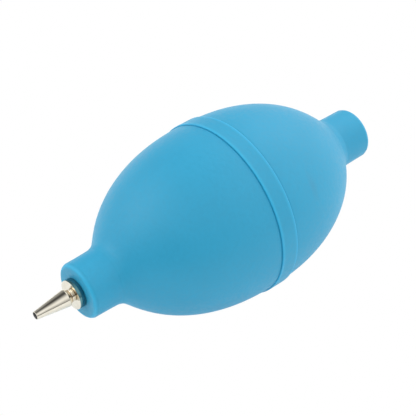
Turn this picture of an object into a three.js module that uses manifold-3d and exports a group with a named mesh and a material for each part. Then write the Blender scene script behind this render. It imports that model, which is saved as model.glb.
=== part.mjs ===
// Rubber air blower bulb with a screw-on metal nozzle and two ball check valves.
//
// Millimetres, +Z up. The long axis is parallel to X and the nozzle points along -X. The origin
// is where the raised seam band rests on a table, so the long axis lies BAND_FLAT_HEIGHT above it.
// Air comes in through the inlet valve in the rear neck and leaves through the outlet valve and
// the nozzle in the front neck. Every turned or moulded piece is a profile revolved about the
// long axis. Its points are [distance, radius], where the distance is measured from the middle of
// the bulb towards the end that the piece belongs to.

import * as THREE from "three";
import { mergeVertices } from "three/addons/utils/BufferGeometryUtils.js";
import Module from "manifold-3d";

const wasm = await Module();
wasm.setup();

// ---------------------------------------------------------------- driving dimensions

const GAP = 0.3; // between neighbouring pieces that touch on the real object
const CHAMFER = 0.25;

// Bulb: two half shells that meet at SEAM_X, under a band that is sunk into their rims. The seat
// is how far below the neck's end face the flange of its fitting lies.
const FRONT = { side: -1, flankLength: 44.5, neckRadius: 8.35, neckEnd: 53.9, blend: 2.7, seat: 0 };
const REAR = { side: 1, flankLength: 43.3, neckRadius: 7.9, neckEnd: 53.5, blend: 3.4, seat: 1.9 };
const BULB_RADIUS = 27;
const WALL = 3;
const SEAM_X = 0.55;
const BAND_HALF_WIDTH = 2.85;
const BAND_RADIUS = 27.65;
const BAND_THICKNESS = 1.45;
const FLANK_POWER = 2.27;
const CROWN_POWER = 1.7;
const DIVE_SLOPE = 3; // of the flank's curve past its end
const NECK_RUN_OUT = 1.5; // from the flank's end to where the neck is straight
const BORE_RUN_OUT = 1.9; // the same, inside
const RIM_ROUNDING = 0.8;

// Wall region that the thumb pushes in: an upright oval plug of wall, seen from above.
const PRESS_HALF_LENGTH = 22;
const PRESS_HALF_WIDTH = 14;

// Turned fittings, with the same barbs in both necks.
const SHANK_RADIUS = 3.3;
const FIRST_BARB = 2.6; // from the flange's seat to the first barb
const BARB_HEIGHT = 0.45;
const BARB_PITCH = 2.4;
const BARB_LENGTH = 1.8;
const BARB_COUNT = 3;
const FLANGE_RADIUS = 4.5;
const NOZZLE_FLANGE_THICKNESS = 1.7;
const INLET_FLANGE_THICKNESS = 1.3;
const SOCKET_SHANK_LENGTH = 12;

// Ball check valves. The plug is the ring that closes a fitting's inner end.
const BALL_RADIUS = 2;
const SEAT_CLEARANCE = 0.1;
const CHAMBER_RADIUS = 2.4;
const PORT_RADIUS = 1.3;
const SEAT_DEPTH = 0.8; // a 45 degree countersink
const INLET_PORT_LENGTH = 1.5;
const PLUG_RADIUS = 2.5;
const PLUG_LENGTH = 2.7;
const SLOT_WIDTH = 0.8;
const SLOT_DEPTH = 0.8;
const SPRING_RADIUS = 1.4;
const SPRING_WIRE = 0.4;
const SPRING_LENGTH = 3.6;
const SPRING_COILS = 4;

// Screw-on nozzle tip and its sealing washer.
const STUB_RADIUS = 1.45;
const STUB_LENGTH = 3.6;
const TIP_BORE_RADIUS = 0.7;
const MOUTH_RADIUS = 1; // the bore's flare at the nozzle's end
const MOUTH_DEPTH = 2.5;
const WASHER_RADIUS = 1.95;
const WASHER_THICKNESS = 0.4;
const COLLAR_RADIUS = 1.65;
const COLLAR_LENGTH = 0.4;
const CONE_BASE_RADIUS = 2.62;
const CONE_SHOULDER = 0.45;
const CONE_END_RADIUS = 1.17;
const CONE_LENGTH = 10.05;

// Facets round the axis. A facet, not an edge, faces straight down.
const SHELL_FACETS = 36;
const FITTING_FACETS = 20;
const BALL_FACETS = 16;

// Steps along a shell's flank and hollow, and round its rim's corner.
const FLANK_STEPS = 10;
const HOLLOW_STEPS = 7;
const ROUNDING_STEPS = 2;

// Sides of a spring's wire, and steps in each of its coils.
const SPRING_SIDES = 6;
const SPRING_STEPS_PER_COIL = 12;

const BAND_FLAT_HEIGHT = BAND_RADIUS * Math.cos(Math.PI / SHELL_FACETS);

// ---------------------------------------------------------------- materials

const finish = (color, roughness, metalness) =>
  new THREE.MeshStandardMaterial({ color, roughness, metalness });
const rubber = finish(0x3f9fca, 0.6, 0);
const nickel = finish(0xcfc9bd, 0.22, 1);
const steel = finish(0xb9bbbd, 0.15, 1);
const brass = finish(0xb08a4a, 0.35, 1);

// ---------------------------------------------------------------- geometry helpers

// A count of equal steps from a to b, both included.
const steps = (a, b, count) =>
  Array.from({ length: count + 1 }, (_, i) => a + ((b - a) * i) / count);

// The same, but closer together towards b, where the bulb's wall turns in to the neck.
const easedSteps = (a, b, count) =>
  steps(0, Math.PI / 2, count).map((angle) => a + (b - a) * Math.sin(angle));

// The larger of two radii, with a rounded corner of the given size where they cross.
const smoothMax = (a, b, size) => (a + b + Math.hypot(a - b, size)) / 2;

const onlyPositions = (geometry) => {
  geometry.deleteAttribute("normal");
  geometry.deleteAttribute("uv");
  return mergeVertices(geometry, 1e-4);
};

// Revolves a closed profile about the X axis. The profile runs along its outside towards the
// middle of the bulb, and back along its bore towards the end.
function ring(half, profile, facets) {
  const points = profile.map(([distance, radius]) => new THREE.Vector2(radius, half.side * distance));
  points.push(points[0].clone());
  if (half.side > 0) points.reverse();
  const lathe = new THREE.LatheGeometry(points, facets, Math.PI / facets);
  lathe.rotateZ(-Math.PI / 2);
  return onlyPositions(lathe);
}

function toSolid(geometry) {
  const merged = onlyPositions(geometry.clone());
  return new wasm.Manifold(
    new wasm.Mesh({
      numProp: 3,
      vertProperties: new Float32Array(merged.attributes.position.array),
      triVerts: new Uint32Array(merged.index.array),
    }),
  );
}

function toGeometry(solid) {
  const mesh = solid.getMesh();
  return new THREE.BufferGeometry()
    .setAttribute("position", new THREE.BufferAttribute(mesh.vertProperties, 3))
    .setIndex(new THREE.BufferAttribute(mesh.triVerts, 1));
}

// ---------------------------------------------------------------- bulb

// Radius of a superellipse flank. Past the flank's end it dives below the neck's radius, so that
// smoothMax leaves a straight neck there.
function flankRadius(distance, radius, length) {
  const along = Math.abs(distance);
  if (along >= length) return DIVE_SLOPE * (length - along);
  return radius * (1 - (along / length) ** FLANK_POWER) ** (1 / CROWN_POWER);
}

const outerRadius = (half, distance) =>
  smoothMax(flankRadius(distance, BULB_RADIUS, half.flankLength), half.neckRadius, half.blend);

const innerRadius = (half, distance) =>
  smoothMax(
    flankRadius(distance, BULB_RADIUS - WALL, half.flankLength - WALL),
    SHANK_RADIUS + GAP,
    half.blend,
  );

const seatFace = (half) => half.neckEnd - half.seat;

// Barbs along a shank or, grown by the gap, the grooves that they press into a neck's bore. They
// run inwards from the flange, and their steep sides face it, to resist being pulled out.
function barbs(half, grow) {
  const radius = SHANK_RADIUS + grow;
  return steps(0, BARB_COUNT - 1, BARB_COUNT - 1).flatMap((i) => {
    const steepSide = seatFace(half) - FIRST_BARB - i * BARB_PITCH;
    return [
      [steepSide + grow, radius],
      [steepSide + grow, radius + BARB_HEIGHT],
      [steepSide - BARB_LENGTH, radius],
    ];
  });
}

// One half of the bulb with its neck.
function halfShell(half) {
  const seam = half.side * SEAM_X + GAP / 2;
  const bandEdge = half.side * SEAM_X + BAND_HALF_WIDTH + GAP;
  const rebateRadius = BAND_RADIUS - BAND_THICKNESS - GAP;
  const neckStart = half.flankLength + NECK_RUN_OUT;
  const roundingStart = half.neckEnd - RIM_ROUNDING;
  const boreStart = half.flankLength - WALL + BORE_RUN_OUT;

  const flank = easedSteps(bandEdge, neckStart, FLANK_STEPS).map((d) => [d, outerRadius(half, d)]);
  const rimCorner = steps(0, Math.PI / 2, ROUNDING_STEPS).map((angle) => [
    roundingStart + RIM_ROUNDING * Math.sin(angle),
    half.neckRadius - RIM_ROUNDING * (1 - Math.cos(angle)),
  ]);
  const counterbore = [
    [seatFace(half), FLANGE_RADIUS + GAP],
    [half.neckEnd, FLANGE_RADIUS + GAP],
  ];
  const hollow = easedSteps(seam, boreStart, HOLLOW_STEPS).map((d) => [d, innerRadius(half, d)]);

  return ring(
    half,
    [
      ...flank.concat(rimCorner).reverse(),
      [bandEdge, rebateRadius],
      [seam, rebateRadius],
      ...hollow,
      ...barbs(half, GAP).reverse(),
      [seatFace(half), SHANK_RADIUS + GAP],
      ...(half.seat > 0 ? counterbore : []),
    ],
    SHELL_FACETS,
  );
}

function seamBand() {
  const low = SEAM_X - BAND_HALF_WIDTH;
  const high = SEAM_X + BAND_HALF_WIDTH;
  const innerFace = BAND_RADIUS - BAND_THICKNESS;
  return ring(
    REAR,
    [
      [high, innerFace],
      [high, BAND_RADIUS - CHAMFER],
      [high - CHAMFER, BAND_RADIUS],
      [low + CHAMFER, BAND_RADIUS],
      [low, BAND_RADIUS - CHAMFER],
      [low, innerFace],
    ],
    SHELL_FACETS,
  );
}

// Upright oval prism through the bulb's upper wall only.
function pressZone(margin) {
  const oval = new THREE.Shape();
  oval.absellipse(0, 0, PRESS_HALF_LENGTH + margin, PRESS_HALF_WIDTH + margin, 0, 2 * Math.PI);
  const prism = new THREE.ExtrudeGeometry(oval, {
    depth: BULB_RADIUS,
    bevelEnabled: false,
    curveSegments: 16,
  });
  prism.translate(SEAM_X, 0, BULB_RADIUS / 3);
  return toSolid(prism);
}

// ---------------------------------------------------------------- valve layout

// From the start of a 45 degree seat to the centre of the ball that rests on it.
const BALL_FROM_SEAT = (BALL_RADIUS + SEAT_CLEARANCE) * Math.SQRT2 - PORT_RADIUS;

// From a ball's centre to the end of the spring that bears on it.
const SPRING_FROM_BALL = Math.sqrt(BALL_RADIUS ** 2 - SPRING_RADIUS ** 2) + GAP;

// Stations of the outlet valve, from its inner end outwards.
const outlet = { innerEnd: seatFace(FRONT) - SOCKET_SHANK_LENGTH };
outlet.plugInner = outlet.innerEnd + GAP;
outlet.plugOuter = outlet.plugInner + PLUG_LENGTH;
outlet.ball = outlet.plugOuter - SEAT_DEPTH + BALL_FROM_SEAT;
outlet.springInner = outlet.ball + SPRING_FROM_BALL;
outlet.chamberEnd = outlet.springInner + SPRING_LENGTH + GAP / 2;
outlet.face = seatFace(FRONT) + GAP + NOZZLE_FLANGE_THICKNESS;

// Stations of the inlet valve, from its outer face inwards.
const inlet = { face: seatFace(REAR) + GAP + INLET_FLANGE_THICKNESS };
inlet.port = inlet.face - INLET_PORT_LENGTH;
inlet.ball = inlet.port - BALL_FROM_SEAT;
inlet.springInner = inlet.ball - SPRING_FROM_BALL - SPRING_LENGTH;
inlet.plugOuter = inlet.springInner - GAP / 2;
inlet.plugInner = inlet.plugOuter - PLUG_LENGTH;
inlet.innerEnd = inlet.plugInner - GAP;

// ---------------------------------------------------------------- fittings

// Outside of a flanged, barbed fitting, and the pocket in its inner end that takes the plug.
const fittingOutside = (half, valve) => [
  [valve.face, FLANGE_RADIUS - CHAMFER],
  [valve.face - CHAMFER, FLANGE_RADIUS],
  [seatFace(half) + GAP, FLANGE_RADIUS],
  [seatFace(half) + GAP, SHANK_RADIUS],
  ...barbs(half, 0),
  [valve.innerEnd + CHAMFER, SHANK_RADIUS],
  [valve.innerEnd, SHANK_RADIUS - CHAMFER],
  [valve.innerEnd, PLUG_RADIUS + GAP],
  [valve.plugOuter + GAP, PLUG_RADIUS + GAP],
  [valve.plugOuter + GAP, CHAMBER_RADIUS],
];

function nozzleSocket() {
  const threadEnd = outlet.face - STUB_LENGTH - GAP;
  const profile = [
    ...fittingOutside(FRONT, outlet),
    [outlet.chamberEnd, CHAMBER_RADIUS],
    [outlet.chamberEnd, TIP_BORE_RADIUS + GAP],
    [threadEnd, TIP_BORE_RADIUS + GAP],
    [threadEnd, STUB_RADIUS + GAP],
    [outlet.face, STUB_RADIUS + GAP],
  ];
  return ring(FRONT, profile, FITTING_FACETS);
}

function inletValveBody() {
  const profile = [
    ...fittingOutside(REAR, inlet),
    [inlet.port - (CHAMBER_RADIUS - PORT_RADIUS), CHAMBER_RADIUS],
    [inlet.port, PORT_RADIUS],
    [inlet.face - CHAMFER, PORT_RADIUS],
    [inlet.face, PORT_RADIUS + CHAMFER],
  ];
  return ring(REAR, profile, FITTING_FACETS);
}

// Threaded ring with a screwdriver slot across its inner face. With a countersink it is the outlet
// ball's seat, and without one it holds the inlet spring.
function valvePlug(half, valve, countersink) {
  const profile = [
    [valve.plugOuter, PORT_RADIUS + countersink],
    [valve.plugOuter, PLUG_RADIUS],
    [valve.plugInner, PLUG_RADIUS],
    [valve.plugInner, PORT_RADIUS],
  ];
  if (countersink > 0) profile.push([valve.plugOuter - countersink, PORT_RADIUS]);
  const slot = new THREE.BoxGeometry(2 * SLOT_DEPTH, 4 * PLUG_RADIUS, SLOT_WIDTH);
  slot.translate(half.side * valve.plugInner, 0, 0);
  return toGeometry(toSolid(ring(half, profile, FITTING_FACETS)).subtract(toSolid(slot)));
}

function ball(half, distance) {
  const sphere = new THREE.SphereGeometry(BALL_RADIUS, BALL_FACETS, BALL_FACETS / 2);
  sphere.rotateZ(Math.PI / 2);
  sphere.translate(half.side * distance, 0, 0);
  return onlyPositions(sphere);
}

// Centre line of a compression spring along X, with closer turns at both ends.
class SpringCurve extends THREE.Curve {
  constructor(half, innerEnd) {
    super();
    this.half = half;
    this.start = innerEnd + SPRING_WIRE / 2;
  }

  getPoint(t) {
    const angle = 2 * Math.PI * SPRING_COILS * t;
    const eased = t - Math.sin(2 * Math.PI * t) / (4 * Math.PI);
    const distance = this.start + (SPRING_LENGTH - SPRING_WIRE) * eased;
    return new THREE.Vector3(
      this.half.side * distance,
      SPRING_RADIUS * Math.sin(angle),
      SPRING_RADIUS * Math.cos(angle),
    );
  }
}

function coilSpring(half, innerEnd) {
  const wire = new THREE.Shape();
  wire.absarc(0, 0, SPRING_WIRE / 2, 0, 2 * Math.PI);
  const coil = new THREE.ExtrudeGeometry(wire, {
    steps: SPRING_COILS * SPRING_STEPS_PER_COIL,
    curveSegments: SPRING_SIDES / 2,
    bevelEnabled: false,
    extrudePath: new SpringCurve(half, innerEnd),
  });
  return onlyPositions(coil);
}

// ---------------------------------------------------------------- nozzle tip and washer

const washerInner = outlet.face + GAP;
const washerOuter = washerInner + WASHER_THICKNESS;

function nozzleWasher() {
  const profile = [
    [washerOuter, STUB_RADIUS + GAP],
    [washerOuter, WASHER_RADIUS],
    [washerInner, WASHER_RADIUS],
    [washerInner, STUB_RADIUS + GAP],
  ];
  return ring(FRONT, profile, FITTING_FACETS);
}

function nozzleTip() {
  const collar = washerOuter + GAP;
  const shoulder = collar + COLLAR_LENGTH;
  const coneBase = shoulder + CONE_SHOULDER;
  const end = coneBase + CONE_LENGTH;
  const stubEnd = outlet.face - STUB_LENGTH;
  const profile = [
    [end, CONE_END_RADIUS],
    [coneBase, CONE_BASE_RADIUS],
    [shoulder, CONE_BASE_RADIUS - CHAMFER],
    [shoulder, COLLAR_RADIUS],
    [collar, COLLAR_RADIUS],
    [collar, STUB_RADIUS],
    [stubEnd + CHAMFER, STUB_RADIUS],
    [stubEnd, STUB_RADIUS - CHAMFER],
    [stubEnd, TIP_BORE_RADIUS],
    [end - MOUTH_DEPTH, TIP_BORE_RADIUS],
    [end, MOUTH_RADIUS],
  ];
  return ring(FRONT, profile, FITTING_FACETS);
}

// ---------------------------------------------------------------- assembly

const blower = new THREE.Group();
blower.position.z = BAND_FLAT_HEIGHT;

function add(name, geometry, material) {
  const mesh = new THREE.Mesh(geometry, material);
  mesh.name = name;
  blower.add(mesh);
}

// Rubber pieces, each with the part of it that the thumb pushes in as a mesh of its own.
const pushedIn = pressZone(-GAP / 2);
const keptClear = pressZone(GAP / 2);

function addRubber(name, pressName, geometry) {
  const whole = toSolid(geometry);
  add(name, toGeometry(whole.subtract(keptClear)), rubber);
  add(pressName, toGeometry(whole.intersect(pushedIn)), rubber);
}

addRubber("front_half_shell", "front_press_wall", halfShell(FRONT));
addRubber("rear_half_shell", "rear_press_wall", halfShell(REAR));
addRubber("seam_band", "seam_band_press_arc", seamBand());

// Front neck: nozzle and outlet valve.
add("nozzle_tip", nozzleTip(), nickel);
add("nozzle_washer", nozzleWasher(), brass);
add("nozzle_socket", nozzleSocket(), nickel);
add("outlet_valve_seat", valvePlug(FRONT, outlet, SEAT_DEPTH), brass);
add("outlet_valve_ball", ball(FRONT, outlet.ball), steel);
add("outlet_valve_spring", coilSpring(FRONT, outlet.springInner), steel);

// Rear neck: inlet valve.
add("inlet_valve_body", inletValveBody(), nickel);
add("inlet_valve_ball", ball(REAR, inlet.ball), steel);
add("inlet_valve_spring", coilSpring(REAR, inlet.springInner), steel);
add("inlet_valve_retainer", valvePlug(REAR, inlet, 0), brass);

export default blower;
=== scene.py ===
"""Looks of a rubber air blower bulb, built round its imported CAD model.

Metres, +Z up, the nozzle points along -X. The rubber and the turned metal are drawn as profiles of
(x, radius) points and revolved about the bulb's long axis. The valves' balls and springs are built
in their own ways.
"""

import math

import bmesh
import bpy
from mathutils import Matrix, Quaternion, Vector


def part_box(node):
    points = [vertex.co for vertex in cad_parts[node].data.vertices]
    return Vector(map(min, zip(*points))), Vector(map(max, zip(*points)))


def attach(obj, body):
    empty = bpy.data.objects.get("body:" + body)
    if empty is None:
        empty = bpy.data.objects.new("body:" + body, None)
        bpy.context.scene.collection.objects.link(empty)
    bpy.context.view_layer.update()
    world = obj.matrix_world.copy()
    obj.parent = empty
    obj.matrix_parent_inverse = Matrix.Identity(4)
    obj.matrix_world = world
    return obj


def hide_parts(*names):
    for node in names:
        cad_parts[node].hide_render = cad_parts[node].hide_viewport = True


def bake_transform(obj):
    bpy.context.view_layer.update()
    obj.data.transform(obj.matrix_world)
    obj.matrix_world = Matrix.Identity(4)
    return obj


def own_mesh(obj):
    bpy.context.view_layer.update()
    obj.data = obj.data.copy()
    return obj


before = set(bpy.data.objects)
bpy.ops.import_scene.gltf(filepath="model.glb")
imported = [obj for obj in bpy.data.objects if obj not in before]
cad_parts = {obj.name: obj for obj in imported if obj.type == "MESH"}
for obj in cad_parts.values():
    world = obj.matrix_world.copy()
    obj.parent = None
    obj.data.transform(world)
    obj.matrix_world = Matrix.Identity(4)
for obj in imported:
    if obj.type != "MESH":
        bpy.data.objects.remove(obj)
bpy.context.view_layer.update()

MM = 0.001
BULB_SEGMENTS = 192
FITTING_SEGMENTS = 96
WELD = 1e-7  # points closer than this are one point


# ---------------------------------------------------------------- sizes from the frame


def box_of(name):
    """Lowest and highest x of a CAD node, and its largest radius about the long axis."""
    low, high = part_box(name)
    return low.x, high.x, (high.y - low.y) / 2


AXIS_Z = sum(corner.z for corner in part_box("nozzle_tip")) / 2
BAND_LOW, BAND_HIGH, _ = box_of("seam_band")
BAND_RADIUS = AXIS_Z
SEAM_X = (BAND_LOW + BAND_HIGH) / 2

# The moulded shapes of the two halves. The flank is a superellipse that runs into the neck.
BULB_RADIUS = 27.0 * MM
WALL = 3.0 * MM
FLANK_POWER = 2.27
CROWN_POWER = 1.7
NECK_BLEND = 3.4 * MM
NECK_ROOT = (0.78, 1.02)  # where a neck's lean sets in and is whole, in flank lengths
BAND_THICKNESS = 1.45 * MM
BAND_EDGE = 0.32 * MM
BAND_GAP = 0.07 * MM  # between the band and each half, and the size of the half's chamfer there
RIM_ROUNDING = 1.1 * MM

# The metal fittings in the two necks, and their barbs from the flange's seat inwards.
FLANGE_RADIUS = box_of("nozzle_socket")[2]
FLANGE_EDGE = 0.11 * MM
FLANGE_RELIEF = 0.1 * MM
RECESS_RADIUS = FLANGE_RADIUS + 0.1 * MM
RECESS_CHAMFER = 0.2 * MM
SHANK_RADIUS = 3.3 * MM
SHANK_END = 1.5 * MM
SHANK_CHAMFER = 0.25 * MM
BORE_SLACK = 0.03 * MM
FIRST_BARB = 2.6 * MM
BARB_HEIGHT = 0.45 * MM
BARB_PITCH = 2.4 * MM
BARB_LENGTH = 1.8 * MM
BARB_COUNT = 3

# The valves inside the fittings.
CHAMBER_RADIUS = 2.4 * MM
CHAMBER_SLACK = 0.15 * MM
THROAT_RADIUS = 1.0 * MM
PORT_RADIUS = 1.3 * MM
PORT_LENGTH = 1.5 * MM
PLUG_RADIUS = box_of("outlet_valve_seat")[2]
PLUG_GAP = 0.3 * MM
POCKET_SLACK = 0.05 * MM
WIRE_RADIUS = 0.2 * MM
COILS = 4
STEPS_PER_COIL = 32
WIRE_SIDES = 12

# The nozzle's tip. Its washer is pinched between its cone and a low boss on the socket's flange.
PITCH = 0.5 * MM
THREAD_DEPTH = 0.22 * MM
THREAD_SLACK = 0.04 * MM
STUB_RADIUS = 1.45 * MM
STUB_CHAMFER = 0.25 * MM
BORE_RADIUS = 0.7 * MM
MOUTH_RADIUS = 1.0 * MM
MOUTH_DEPTH = 2.5 * MM
CONE_END_RADIUS = 1.17 * MM
CONE_LENGTH = 10.05 * MM
COLLAR_LENGTH = 0.6 * MM
COLLAR_TAPER = 0.35 * MM
COLLAR_FOOT = 0.5 * MM
BOSS_RADIUS = 1.9 * MM
BOSS_HEIGHT = 0.62 * MM
WASHER_THICKNESS = 0.3 * MM
WASHER_EDGE = 0.12 * MM
WASHER_SLACK = 0.05 * MM
WASHER_SEAT = box_of("nozzle_socket")[0] - BOSS_HEIGHT
TOUCH = 0.02 * MM  # kept between two pieces that are pressed together


class Half:
    """One half of the bulb. Distances run from the middle of the bulb towards its neck."""

    def __init__(self, side, node_name, flank, neck_radius, seat, lean):
        low, high, _ = box_of(node_name)
        self.side = side
        self.neck_end = high if side > 0 else -low
        self.flank = flank
        self.neck_radius = neck_radius
        self.seat = seat
        self.lean = Vector((0, *lean))

    def x(self, distance):
        return self.side * distance


# Each half: its side, flank length, neck radius, how deep its fitting's flange is seated, and how
# far its soft neck is moulded off the axis along Y and Z.
FRONT = Half(-1, "front_half_shell", 44.5 * MM, 8.35 * MM, 0.0, (0, -0.25 * MM))
REAR = Half(1, "rear_half_shell", 43.3 * MM, 7.9 * MM, 1.9 * MM, (0.3 * MM, 0.45 * MM))


# ---------------------------------------------------------------- profiles and meshes


HIGHLIGHT_REACH = 0.9 * MM  # how far from an edge the painted highlight reaches


def smooth_max(a, b, size):
    """The larger of two numbers, with a smooth turn of the given size where they cross."""
    return (a + b + math.hypot(a - b, size)) / 2


def smooth_step(value, low, high):
    """0 up to low, 1 from high on, and an even S between them."""
    t = min(1.0, max(0.0, (value - low) / (high - low)))
    return t * t * (3 - 2 * t)


def steps(a, b, count):
    """Evenly spaced numbers from a to b, both included."""
    return [a + (b - a) * i / count for i in range(count + 1)]


def eased(a, b, count):
    """Like steps, but closer together towards b."""
    return [a + (b - a) * math.sin(t) for t in steps(0, math.pi / 2, count)]


def rounded(corners, arc_steps=5):
    """Closed profile with its corners rounded. Each corner is (x, radius, rounding)."""
    points = []
    count = len(corners)
    for i, (x, r, rounding) in enumerate(corners):
        here = Vector((x, r))
        before = Vector(corners[i - 1][:2]) - here
        after = Vector(corners[(i + 1) % count][:2]) - here
        if rounding <= 0 or min(before.length, after.length) < WELD:
            points.append((x, r))
            continue
        half_angle = before.angle(after) / 2
        cut = min(rounding / math.tan(half_angle), before.length * 0.49, after.length * 0.49)
        start = here + before.normalized() * cut
        end = here + after.normalized() * cut
        for t in steps(0, 1, arc_steps):
            # A quadratic curve is a true enough arc at this size.
            p = start * (1 - t) ** 2 + here * (2 * t * (1 - t)) + end * t**2
            points.append((p.x, p.y))
    return points


def new_object(name, bm):
    """Object from a bmesh, shaded smooth but for its sharp edges."""
    bmesh.ops.recalc_face_normals(bm, faces=bm.faces)
    mesh = bpy.data.meshes.new(name)
    bm.to_mesh(mesh)
    bm.free()
    mesh.shade_smooth()
    mesh.set_sharp_from_angle(angle=math.radians(35))
    piece = bpy.data.objects.new(name, mesh)
    bpy.context.scene.collection.objects.link(piece)
    return piece


def revolve(name, profile, segments, shape=None, painted_highlight=()):
    """Revolves a closed profile about the long axis. shape(x, radius, angle) may vary a radius.

    The float attribute made here is 1 on the edges at the given (x, radius) points and 0 away
    from them. It marks where a highlight is painted along those edges.
    """
    bm = bmesh.new()
    highlight_layer = bm.verts.layers.float.new("painted_highlight")
    rings = []
    for i in range(segments):
        angle = 2 * math.pi * i / segments
        ring = []
        for x, radius in profile:
            r = shape(x, radius, angle) if shape else radius
            vert = bm.verts.new((x, r * math.sin(angle), AXIS_Z + r * math.cos(angle)))
            near = min((math.dist((x, radius), edge) for edge in painted_highlight), default=HIGHLIGHT_REACH)
            vert[highlight_layer] = 1 - smooth_step(near, 0, HIGHLIGHT_REACH)
            ring.append(vert)
        rings.append(ring)
    for i in range(segments):
        a, b = rings[i], rings[(i + 1) % segments]
        for j in range(len(profile)):
            k = (j + 1) % len(profile)
            bm.faces.new((a[j], a[k], b[k], b[j]))
    bmesh.ops.remove_doubles(bm, verts=bm.verts, dist=WELD)
    return new_object(name, bm)


# ---------------------------------------------------------------- materials


# Sky-blue rubber: its mottle runs between two blues. Marked edges get a lighter blue as a painted
# highlight, and the scuff has its own.
DEEP_BLUE = (0.014, 0.336, 0.565, 1)
SOFT_BLUE = (0.018, 0.360, 0.599, 1)
HIGHLIGHT_BLUE = (0.024, 0.435, 0.72, 1)
SCUFF_BLUE = (0.10, 0.14, 0.25, 1)
SCUFF_CENTRE = (14.0 * MM, -21.5 * MM, 41.5 * MM)
SCUFF_SIZE = (1.7 * MM, 4.0 * MM, 6.0 * MM)
SCUFF_STRENGTH = 0.3

# Each metal: its lighter and darker colour, then its lowest and highest roughness.
NICKEL = ((0.79, 0.75, 0.65), (0.71, 0.665, 0.56), 0.04, 0.09)
DULL_BRASS = ((0.47, 0.34, 0.19), (0.35, 0.24, 0.13), 0.14, 0.26)
POLISHED_STEEL = ((0.66, 0.66, 0.66), (0.58, 0.58, 0.58), 0.08, 0.16)

# Where nickel is marked: from and to which radius, then the colour and roughness of the mark.
# The tip's bore darkens inwards: partly dirt, partly painted shade inside the hollow.
DIRTY_SHADED_BORE = (1.12 * MM, 1.04 * MM, (0.24, 0.24, 0.24), 0.5)
# The flange's rounded side turns dark teal: a painted reflection of the blue rubber face, in painted
# shade where it meets the rubber.
PAINTED_RUBBER_REFLECTION = (4.38 * MM, 4.43 * MM, (0.10, 0.24, 0.27), 0.14)


def principled(name):
    """Material with one Principled shader, its node tree and the shader."""
    material = bpy.data.materials.new(name)
    material.use_nodes = True
    tree = material.node_tree
    tree.nodes.clear()
    shader = tree.nodes.new("ShaderNodeBsdfPrincipled")
    output = tree.nodes.new("ShaderNodeOutputMaterial")
    tree.links.new(shader.outputs["BSDF"], output.inputs["Surface"])
    return material, tree, shader


def node(tree, kind, inputs=None, **settings):
    """Adds a node. Each input is a socket to link from or a value to set."""
    made = tree.nodes.new(kind)
    for key, value in settings.items():
        setattr(made, key, value)
    for socket, value in (inputs or {}).items():
        if isinstance(value, bpy.types.NodeSocket):
            tree.links.new(value, made.inputs[socket])
        else:
            made.inputs[socket].default_value = value
    return made


def place(tree, stretch=(1, 1, 1)):
    """Object coordinates in metres, stretched and then lowered by the long axis's height."""
    coordinates = node(tree, "ShaderNodeTexCoord")
    mapping = node(
        tree,
        "ShaderNodeMapping",
        {"Vector": coordinates.outputs["Object"], "Scale": stretch, "Location": (0, 0, -AXIS_Z)},
    )
    return mapping.outputs["Vector"]


def noise(tree, vector, scale, detail):
    """Noise about 0.5. scale is in waves per metre."""
    made = node(
        tree,
        "ShaderNodeTexNoise",
        {"Vector": vector, "Scale": scale, "Detail": detail, "Roughness": 0.5},
    )
    return made.outputs["Fac"]


def spread(tree, value, low, high, from_low=0.3, from_high=0.7):
    """Maps a value to low..high. Noise mostly lies between 0.3 and 0.7."""
    made = node(
        tree,
        "ShaderNodeMapRange",
        {
            "Value": value,
            "From Min": from_low,
            "From Max": from_high,
            "To Min": low,
            "To Max": high,
        },
    )
    return made.outputs["Result"]


def maths(tree, operation, a, b):
    return node(tree, "ShaderNodeMath", {0: a, 1: b}, operation=operation).outputs[0]


def mixed(tree, factor, a, b):
    """Colour between a and b."""
    made = node(tree, "ShaderNodeMix", data_type="RGBA")
    for socket, value in ((made.inputs[0], factor), (made.inputs[6], a), (made.inputs[7], b)):
        if isinstance(value, bpy.types.NodeSocket):
            tree.links.new(value, socket)
        else:
            socket.default_value = value
    return made.outputs[2]


def oval_patch(tree, centre, size):
    """1 at a point on the surface and 0 at the given distances from it and beyond."""
    away = node(tree, "ShaderNodeTexCoord").outputs["Object"]
    for operation, value in (("SUBTRACT", centre), ("DIVIDE", size)):
        moved = node(tree, "ShaderNodeVectorMath", {0: away, 1: value}, operation=operation)
        away = moved.outputs["Vector"]
    distance = node(tree, "ShaderNodeVectorMath", {0: away}, operation="LENGTH")
    return spread(tree, distance.outputs["Value"], 1.0, 0.0, 0.0, 1.0)


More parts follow.
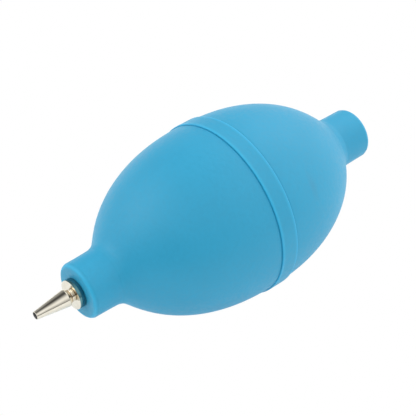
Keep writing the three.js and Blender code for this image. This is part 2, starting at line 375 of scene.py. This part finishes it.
def rubber(name):
    """Moulded sky-blue rubber: silky, faintly mottled, with a fine moulded grain and painted edge
    highlights.
    """
    material, tree, shader = principled(name)
    where = place(tree)
    cloudy = noise(tree, where, 60.0, 3.0)
    fine = noise(tree, where, 900.0, 2.0)
    grain = noise(tree, where, 5200.0, 1.0)
    mottle = spread(tree, maths(tree, "ADD", cloudy, fine), 0.0, 1.0, 0.75, 1.25)
    blue = mixed(tree, mottle, DEEP_BLUE, SOFT_BLUE)
    scuff = maths(tree, "MULTIPLY", oval_patch(tree, SCUFF_CENTRE, SCUFF_SIZE), fine)
    blue = mixed(tree, maths(tree, "MULTIPLY", scuff, SCUFF_STRENGTH), blue, SCUFF_BLUE)
    # Marked edges are painted a lighter blue: a painted highlight.
    painted_highlight = node(tree, "ShaderNodeAttribute", attribute_name="painted_highlight").outputs["Fac"]
    blue = mixed(tree, painted_highlight, blue, HIGHLIGHT_BLUE)
    tree.links.new(blue, shader.inputs["Base Color"])
    tree.links.new(spread(tree, fine, 0.44, 0.60), shader.inputs["Roughness"])
    shader.inputs["IOR"].default_value = 1.5
    shader.inputs["Sheen Weight"].default_value = 0.10
    shader.inputs["Sheen Roughness"].default_value = 0.35
    broad_bump = node(
        tree, "ShaderNodeBump", {"Strength": 0.30, "Distance": 0.14 * MM, "Height": fine}
    )
    fine_bump = node(
        tree,
        "ShaderNodeBump",
        {
            "Strength": 0.40,
            "Distance": 0.03 * MM,
            "Height": grain,
            "Normal": broad_bump.outputs["Normal"],
        },
    )
    tree.links.new(fine_bump.outputs["Normal"], shader.inputs["Normal"])
    return material


def turned_metal(name, light, dark, smooth, rough, dull=None):
    """Turned metal: lathe lines round the axis, and faint uneven polish.

    The last argument, if given, is (bright radius, marked radius, colour, roughness). Between the
    two radii the metal takes that colour and roughness: dulling and painted shade in the tip's bore,
    a painted reflection on the flange's side.
    """
    material, tree, shader = principled(name)
    lines = noise(tree, place(tree, (1, 0.02, 0.02)), 9000.0, 2.0)
    stains = noise(tree, place(tree), 500.0, 3.0)
    colour = mixed(tree, spread(tree, stains, 0.0, 1.0), (*light, 1), (*dark, 1))
    roughness = spread(tree, stains, smooth, rough)
    if dull:
        bright_radius, dull_radius, dull_colour, dull_roughness = dull
        from_axis = node(
            tree, "ShaderNodeVectorMath", {0: place(tree, (0, 1, 1))}, operation="LENGTH"
        ).outputs["Value"]
        # Between the two radii the mark's colour and roughness are painted in.
        dulled = spread(tree, from_axis, 0.0, 1.0, bright_radius, dull_radius)
        colour = mixed(tree, dulled, colour, (*dull_colour, 1))
        roughness = spread(tree, dulled, roughness, dull_roughness, 0.0, 1.0)
    tree.links.new(colour, shader.inputs["Base Color"])
    tree.links.new(roughness, shader.inputs["Roughness"])
    shader.inputs["Metallic"].default_value = 1.0
    bump = node(
        tree, "ShaderNodeBump", {"Strength": 0.08, "Distance": 0.01 * MM, "Height": lines}
    )
    tree.links.new(bump.outputs["Normal"], shader.inputs["Normal"])
    return material


BULB_RUBBER = rubber("bulb_rubber")
BAND_RUBBER = rubber("band_rubber")
TIP_NICKEL = turned_metal("tip_nickel", *NICKEL, dull=DIRTY_SHADED_BORE)
FLANGE_NICKEL = turned_metal("flange_nickel", *NICKEL, dull=PAINTED_RUBBER_REFLECTION)
BRASS = turned_metal("brass", *DULL_BRASS)
STEEL = turned_metal("polished_steel", *POLISHED_STEEL)


def dress(piece, body, material, slot, *nodes):
    """Gives a finished piece its material and its body, and hides the CAD nodes that it stands for.
    """
    piece.data.materials.append(material)
    if body:
        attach(piece, body)
    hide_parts(*nodes)
    return piece


# ---------------------------------------------------------------- rubber bulb


def flank_radius(distance, radius, length):
    """Radius of the superellipse. Past its end it falls away steeply, below the neck's radius."""
    along = abs(distance)
    if along >= length:
        return 3 * (length - along)
    return radius * (1 - (along / length) ** FLANK_POWER) ** (1 / CROWN_POWER)


def barbs(half, slack):
    """Profile of the barbs, or with some slack that of the rubber which closes round them."""
    points = []
    for i in range(BARB_COUNT):
        steep_side = half.neck_end - half.seat - FIRST_BARB - i * BARB_PITCH + slack
        points.append((steep_side, SHANK_RADIUS + slack))
        points.append((steep_side, SHANK_RADIUS + BARB_HEIGHT + slack))
        points.append((steep_side - BARB_LENGTH, SHANK_RADIUS + slack))
    return points


def lean_neck(piece, half):
    """Sets the outside of a neck a little off the axis. Its bore stays on the axis."""
    for vert in piece.data.vertices:
        radius = math.hypot(vert.co.y, vert.co.z - AXIS_Z)
        outer = smooth_step(radius, RECESS_RADIUS + RECESS_CHAMFER, half.neck_radius - RIM_ROUNDING)
        along = smooth_step(half.side * vert.co.x / half.flank, *NECK_ROOT)
        vert.co += half.lean * outer * along


def half_skin(name, half):
    """One half of the bulb as an unbroken thick skin, with its neck."""

    def outer(d):
        return smooth_max(flank_radius(d, BULB_RADIUS, half.flank), half.neck_radius, NECK_BLEND)

    def inner(d):
        flank = flank_radius(d, BULB_RADIUS - WALL, half.flank - WALL)
        return smooth_max(flank, SHANK_RADIUS, NECK_BLEND)

    seam = half.side * SEAM_X
    band_edge = seam + (BAND_HIGH - BAND_LOW) / 2
    under_band = BAND_RADIUS - BAND_THICKNESS
    rim_start = half.neck_end - RIM_ROUNDING
    rim_foot = half.neck_radius - RIM_ROUNDING
    seat_face = half.neck_end - half.seat
    neck_start = half.flank + 1.5 * MM
    bore_start = half.flank - WALL + 2 * MM

    outside = [(d, outer(d)) for d in eased(band_edge + 2 * BAND_GAP, neck_start, 110)]
    outside += [(d, outer(d)) for d in steps(neck_start + 0.5 * MM, rim_start, 24)]
    rim = [
        (rim_start + RIM_ROUNDING * math.sin(a), rim_foot + RIM_ROUNDING * math.cos(a))
        for a in steps(0, math.pi / 2, 10)[1:]
    ]
    face = [(half.neck_end, r) for r in steps(rim_foot, RECESS_RADIUS + RECESS_CHAMFER, 6)[1:]]
    recessed = [(half.neck_end - RECESS_CHAMFER, RECESS_RADIUS), (seat_face, RECESS_RADIUS)]
    bore = [(seat_face, SHANK_RADIUS + BORE_SLACK)] + barbs(half, BORE_SLACK)
    inside = [(d, inner(d)) for d in reversed(eased(seam, bore_start, 60))]
    step = [
        (seam, under_band),
        (band_edge + BAND_GAP, under_band),
        (band_edge + BAND_GAP, outer(band_edge) - 1.5 * BAND_GAP),
        (band_edge + 1.3 * BAND_GAP, outer(band_edge) - 0.5 * BAND_GAP),
    ]
    profile = outside + rim + face + (recessed if half.seat else []) + bore + inside + step
    # The middle of the rim's rounding gets a painted highlight.
    rim_middle = RIM_ROUNDING * (1 - math.cos(math.pi / 4))
    rim_corner = (half.x(half.neck_end - rim_middle), half.neck_radius - rim_middle)
    piece = revolve(
        name, [(half.x(d), r) for d, r in profile], BULB_SEGMENTS, painted_highlight=[rim_corner]
    )
    lean_neck(piece, half)
    return piece


def band_skin():
    """The raised band, with a slight rounding along both edges."""
    inner = BAND_RADIUS - BAND_THICKNESS
    profile = rounded(
        [
            (BAND_LOW, inner, 0),
            (BAND_LOW, BAND_RADIUS, BAND_EDGE),
            (BAND_HIGH, BAND_RADIUS, BAND_EDGE),
            (BAND_HIGH, inner, 0),
        ]
    )
    crown = steps(BAND_LOW + 2 * BAND_EDGE, BAND_HIGH - 2 * BAND_EDGE, 10)
    half_way = len(profile) // 2
    profile[half_way:half_way] = [(x, BAND_RADIUS) for x in crown]
    # Both rounded edges of the band get a painted highlight.
    edges = [(BAND_LOW + BAND_EDGE / 2, BAND_RADIUS), (BAND_HIGH - BAND_EDGE / 2, BAND_RADIUS)]
    return revolve("seam_band_ring", profile, BULB_SEGMENTS, painted_highlight=edges)


def make_bulb():
    """Both halves and the band."""
    front = half_skin("front_bulb_half", FRONT)
    rear = half_skin("rear_bulb_half", REAR)
    band = band_skin()
    dress(front, None, BULB_RUBBER, "bulb_rubber", "front_half_shell", "front_press_wall")
    dress(rear, None, BULB_RUBBER, "bulb_rubber", "rear_half_shell", "rear_press_wall")
    dress(band, None, BAND_RUBBER, "band_rubber", "seam_band", "seam_band_press_arc")
    for piece in (front, rear, band):
        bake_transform(piece)


# ---------------------------------------------------------------- nozzle


def thread(x_low, x_high, crest):
    """Radius of a right-hand screw thread between two places, fading out at both ends."""

    def shape(x, radius, angle):
        if not x_low < x < x_high or abs(radius - crest) > WELD:
            return radius
        turn = (x / PITCH + angle / (2 * math.pi)) % 1.0
        groove = 1 - abs(2 * turn - 1)
        fade = min(1.0, (x - x_low) / PITCH, (x_high - x) / PITCH)
        return radius - THREAD_DEPTH * groove * fade

    return shape


def make_nozzle_tip():
    """Hollow cone with a flared mouth, a collar behind it and a threaded stub."""
    end, stub_end, base_radius = box_of("nozzle_tip")
    base = end + CONE_LENGTH
    seat = WASHER_SEAT - WASHER_THICKNESS - TOUCH
    stub = [(x, STUB_RADIUS) for x in steps(seat, stub_end - STUB_CHAMFER, 96)]
    outside = rounded(
        [
            (stub_end, BORE_RADIUS, 0),
            (end + MOUTH_DEPTH, BORE_RADIUS, 0.2 * MM),
            (end, MOUTH_RADIUS, 0.04 * MM),
            (end, CONE_END_RADIUS, 0.07 * MM),
            (base, base_radius, 0.5 * MM),
            (base + COLLAR_LENGTH, base_radius - COLLAR_TAPER, 0.3 * MM),
            (seat, STUB_RADIUS + COLLAR_FOOT, 0.1 * MM),
        ],
        arc_steps=7,
    )
    profile = outside + stub + [(stub_end, STUB_RADIUS - STUB_CHAMFER)]
    screw = thread(seat, stub_end, STUB_RADIUS)
    piece = revolve("nozzle_cone", profile, FITTING_SEGMENTS, screw)
    dress(piece, "nozzle", TIP_NICKEL, "nickel", "nozzle_tip")


def make_washer():
    """Brass ring that seals the tip against the socket's boss."""
    low, high = WASHER_SEAT - WASHER_THICKNESS, WASHER_SEAT - TOUCH
    radius = box_of("nozzle_washer")[2]
    bore = STUB_RADIUS + WASHER_SLACK
    corners = ((low, bore), (low, radius), (high, radius), (high, bore))
    profile = rounded([(x, r, WASHER_EDGE) for x, r in corners])
    piece = revolve("nozzle_sealing_ring", profile, FITTING_SEGMENTS)
    dress(piece, "washer", BRASS, "brass", "nozzle_washer")


# ---------------------------------------------------------------- valve fittings


def fitting(half, face, inner_end, plug_outer, inside, boss=()):
    """Flanged, barbed insert of a neck. inside is its profile from the chamber to the face."""
    seat = half.neck_end - half.seat
    flange = rounded(
        [
            (*inside[-1], 0),
            *boss,
            (face, FLANGE_RADIUS, FLANGE_EDGE),
            (seat + FLANGE_RELIEF, FLANGE_RADIUS, FLANGE_EDGE),
            (seat + FLANGE_RELIEF, FLANGE_RADIUS - 3 * FLANGE_EDGE, 0),
            (seat, FLANGE_RADIUS - 4 * FLANGE_EDGE, 0),
            (seat, SHANK_RADIUS, 0.1 * MM),
        ]
    )[1:]
    pocket = PLUG_RADIUS + POCKET_SLACK
    pocket_end = plug_outer + 0.1 * MM
    end = rounded(
        [
            (inner_end + SHANK_END, SHANK_RADIUS, 0),
            (inner_end, SHANK_RADIUS, SHANK_CHAMFER),
            (inner_end, pocket, 0.1 * MM),
            (pocket_end, pocket, 0),
            (pocket_end, CHAMBER_RADIUS, 0),
        ]
    )
    return [(half.x(d), r) for d, r in flange + barbs(half, 0) + end + inside]


def make_nozzle_socket():
    """Nozzle's socket in the front neck, threaded for the tip, with the outlet valve's chamber."""
    low, high, _ = box_of("nozzle_socket")
    chamber_end = -box_of("outlet_valve_spring")[0] + CHAMBER_SLACK
    thread_end = -box_of("nozzle_tip")[1] - PLUG_GAP
    crest = STUB_RADIUS + THREAD_SLACK
    threaded = [(d, crest) for d in steps(thread_end, -WASHER_SEAT, 120)]
    boss = [
        (-WASHER_SEAT, BOSS_RADIUS - 0.1 * MM, 0.2 * MM),
        (-low + BOSS_HEIGHT / 2, BOSS_RADIUS, 0.3 * MM),
        (-low, BOSS_RADIUS - 0.2 * MM, 0.1 * MM),
    ]
    inside = [
        (chamber_end, CHAMBER_RADIUS),
        (chamber_end, THROAT_RADIUS),
        (thread_end, THROAT_RADIUS),
        *threaded,
    ]
    profile = fitting(FRONT, -low, -high, -box_of("outlet_valve_seat")[0], inside, boss)
    screw = thread(WASHER_SEAT - PITCH, -thread_end, crest)
    piece = revolve("threaded_nozzle_socket", profile, FITTING_SEGMENTS, screw)
    dress(piece, "bulb", FLANGE_NICKEL, "nickel", "nozzle_socket")


def make_inlet_body():
    """Insert of the rear neck: an air hole, and the countersunk seat of the inlet ball behind it."""
    inner_end, face, _ = box_of("inlet_valve_body")
    port = face - PORT_LENGTH
    countersink = CHAMBER_RADIUS - PORT_RADIUS
    inside = [
        (port - countersink, CHAMBER_RADIUS),
        (port, PORT_RADIUS),
        (face - 0.3 * MM, PORT_RADIUS),
        (face - 0.1 * MM, PORT_RADIUS + 0.06 * MM),
        (face, PORT_RADIUS + 0.25 * MM),
    ]
    profile = fitting(REAR, face, inner_end, box_of("inlet_valve_retainer")[1], inside)
    piece = revolve("barbed_inlet_body", profile, FITTING_SEGMENTS)
    dress(piece, "bulb", FLANGE_NICKEL, "nickel", "inlet_valve_body")


def make_ball(name, node_name, body):
    """A steel ball where the CAD ball is."""
    low, high, radius = box_of(node_name)
    bm = bmesh.new()
    bmesh.ops.create_icosphere(bm, subdivisions=4, radius=radius)
    bmesh.ops.translate(bm, verts=bm.verts, vec=((low + high) / 2, 0, AXIS_Z))
    dress(new_object(name, bm), body, STEEL, "steel", node_name)


def make_spring(name, node_name):
    """Compression spring with closer turns at both ends."""
    low, high, outer_radius = box_of(node_name)
    coil_radius = outer_radius - WIRE_RADIUS
    wound_length = high - low - 2 * WIRE_RADIUS
    bm = bmesh.new()
    rings = []
    for t in steps(0, 1, COILS * STEPS_PER_COIL):
        angle = 2 * math.pi * COILS * t
        eased_t = t - math.sin(2 * math.pi * t) / (4 * math.pi)
        outward = Vector((0, math.sin(angle), math.cos(angle)))
        centre = Vector((low + WIRE_RADIUS + wound_length * eased_t, 0, AXIS_Z))
        centre += outward * coil_radius
        ring = []
        for side in range(WIRE_SIDES):
            turn = 2 * math.pi * side / WIRE_SIDES
            offset = outward * math.cos(turn) + Vector((math.sin(turn), 0, 0))
            ring.append(bm.verts.new(centre + offset * WIRE_RADIUS))
        rings.append(ring)
    for a, b in zip(rings, rings[1:]):
        for side in range(WIRE_SIDES):
            after = (side + 1) % WIRE_SIDES
            bm.faces.new((a[side], a[after], b[after], b[side]))
    bm.faces.new(rings[0])
    bm.faces.new(reversed(rings[-1]))
    piece = dress(new_object(name, bm), "bulb", STEEL, "steel", node_name)
    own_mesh(piece)


def make_plugs():
    """The slotted threaded rings are right as they are, and take dull brass."""
    for name in ("outlet_valve_seat", "inlet_valve_retainer"):
        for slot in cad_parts[name].material_slots:
            slot.material = BRASS


make_bulb()
make_nozzle_tip()
make_washer()
make_nozzle_socket()
make_inlet_body()
make_ball("outlet_ball_bearing", "outlet_valve_ball", "outlet_ball")
make_ball("inlet_ball_bearing", "inlet_valve_ball", "inlet_ball")
make_spring("outlet_coil_spring", "outlet_valve_spring")
make_spring("inlet_coil_spring", "inlet_valve_spring")
make_plugs()


# ---------------------------------------------------------------- studio


FLOOR_REACH = 2.0
FLOOR_GAP = 0.05 * MM  # keeps the floor clear of the band that rests on it
FLOOR_GLOW = 0.19

# Soft boxes round the table as lobes of light: azimuth from the rear neck and elevation, both in
# degrees, and level. The last is a black flag, which takes light away.
SOFT_BOXES = (
    (-30, 15, 1.27),
    (-60, 0, 0.29),
    (-90, 50, 1.08),
    (0, 15, 0.52),
    (120, 50, 3.69),
    (180, 50, 0.91),
    (30, 50, 3.23),
    (75, 10, 0.41),
    (75, 60, -3.42),
)
LOBE_SHARPNESS = 6

# The camera stands on the nozzle's side, well above the table, and is rolled a little. Angles are
# in degrees, and the lens in millimetres.
CAMERA_AZIMUTH = -41.74
CAMERA_ELEVATION = 41.0
CAMERA_DISTANCE = 372.4 * MM
CAMERA_ROLL = -0.2
FOCAL_LENGTH = 109.45
AIM_LEFT = 4.93 * MM
AIM_DOWN = 0.37 * MM


def seen_as_white(tree, shader):
    """Output that is plain white to the camera itself and the given shader to every other ray."""
    white = node(tree, "ShaderNodeEmission", {"Color": (1, 1, 1, 1), "Strength": 1.0})
    path = node(tree, "ShaderNodeLightPath")
    mix = node(
        tree,
        "ShaderNodeMixShader",
        {0: path.outputs["Is Camera Ray"], 1: shader, 2: white.outputs["Emission"]},
    )
    return mix.outputs[0]


def make_floor():
    """Light table: pale and matt, faintly lit from inside."""
    bm = bmesh.new()
    bmesh.ops.create_grid(bm, x_segments=1, y_segments=1, size=FLOOR_REACH)
    mesh = bpy.data.meshes.new("floor")
    bm.to_mesh(mesh)
    bm.free()
    floor = bpy.data.objects.new("floor", mesh)
    floor.location.z = -FLOOR_GAP
    bpy.context.scene.collection.objects.link(floor)
    material, tree, shader = principled("light_table")
    shader.inputs["Base Color"].default_value = (0.85, 0.85, 0.85, 1)
    shader.inputs["Roughness"].default_value = 0.9
    shader.inputs["Emission Color"].default_value = (1, 1, 1, 1)
    shader.inputs["Emission Strength"].default_value = FLOOR_GLOW
    output = shader.outputs["BSDF"].links[0].to_node
    tree.links.new(seen_as_white(tree, shader.outputs["BSDF"]), output.inputs["Surface"])
    mesh.materials.append(material)


def make_world():
    """A dim room with soft boxes round the table, and a black flag above its far side."""
    world = bpy.data.worlds.new("studio")
    bpy.context.scene.world = world
    world.use_nodes = True
    tree = world.node_tree
    tree.nodes.clear()
    coordinates = node(tree, "ShaderNodeTexCoord")
    total = None
    for azimuth, elevation, level in SOFT_BOXES:
        a, e = math.radians(azimuth), math.radians(elevation)
        towards = (math.cos(a) * math.cos(e), math.sin(a) * math.cos(e), math.sin(e))
        facing = node(
            tree,
            "ShaderNodeVectorMath",
            {0: coordinates.outputs["Generated"], 1: towards},
            operation="DOT_PRODUCT",
        )
        lobe = maths(tree, "MAXIMUM", facing.outputs["Value"], 0.0)
        lobe = maths(tree, "POWER", lobe, LOBE_SHARPNESS)
        lobe = maths(tree, "MULTIPLY", lobe, level)
        total = maths(tree, "ADD", total, lobe) if total else lobe
    total = maths(tree, "MAXIMUM", total, 0.0)
    lit = node(tree, "ShaderNodeBackground", {"Color": total, "Strength": 1.0})
    output = node(tree, "ShaderNodeOutputWorld")
    tree.links.new(seen_as_white(tree, lit.outputs["Background"]), output.inputs["Surface"])


def make_camera():
    """Long lens, aimed a little beside the middle of the bulb."""
    azimuth, elevation = math.radians(CAMERA_AZIMUTH), math.radians(CAMERA_ELEVATION)
    back = Vector(
        (
            math.sin(azimuth) * math.cos(elevation),
            -math.cos(azimuth) * math.cos(elevation),
            math.sin(elevation),
        )
    )
    right = Vector((math.cos(azimuth), math.sin(azimuth), 0))
    up = back.cross(right)
    centre = Vector((0, 0, AXIS_Z))
    aim = centre - right * AIM_LEFT - up * AIM_DOWN
    data = bpy.data.cameras.new("camera")
    data.sensor_width = 36
    data.lens = FOCAL_LENGTH
    data.clip_start = 0.01
    data.clip_end = 20
    camera = bpy.data.objects.new("camera", data)
    camera.location = centre + back * CAMERA_DISTANCE
    camera.rotation_mode = "QUATERNION"
    roll = Quaternion((0, 0, 1), math.radians(CAMERA_ROLL))
    camera.rotation_quaternion = (aim - camera.location).to_track_quat("-Z", "Y") @ roll
    bpy.context.scene.collection.objects.link(camera)
    bpy.context.scene.camera = camera


make_floor()
make_world()
make_camera()
bpy.context.scene.view_settings.view_transform = "Standard"
